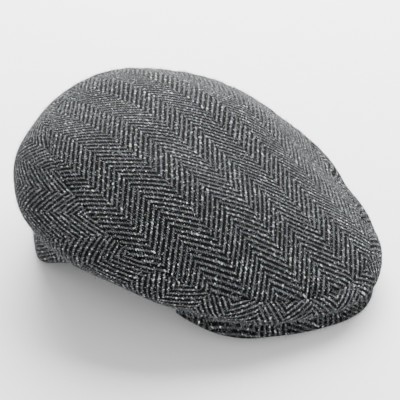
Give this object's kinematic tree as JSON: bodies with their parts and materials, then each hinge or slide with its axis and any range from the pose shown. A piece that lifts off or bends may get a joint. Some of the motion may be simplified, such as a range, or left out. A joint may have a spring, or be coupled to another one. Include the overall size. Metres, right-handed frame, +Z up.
{
  "type": "flat cap",
  "caption": "Flat cap of herringbone wool: domed crown of a top panel and a wrap-around side panel, a low band, a curved peak at the front and an open head hollow.",
  "frame": {"origin": "on the table, under the middle of the crown's widest line", "axes": "+Z up, -Y towards the peak, +X towards the wearer's left"},
  "size_m": [0.219, 0.26, 0.116],
  "materials": {
    "crown_wool": "brushed herringbone wool, charcoal and light grey with white flecks",
    "side_wool": "brushed herringbone wool, charcoal and light grey with white flecks",
    "band_wool": "brushed herringbone wool, charcoal and light grey with white flecks",
    "peak_wool": "herringbone wool over a stiffener, charcoal and light grey"
  },
  "bodies": {
    "root": {"top_panel": "crown_wool", "side_panel": "side_wool", "band": "band_wool", "peak": "peak_wool"}
  },
  "joints": []
}
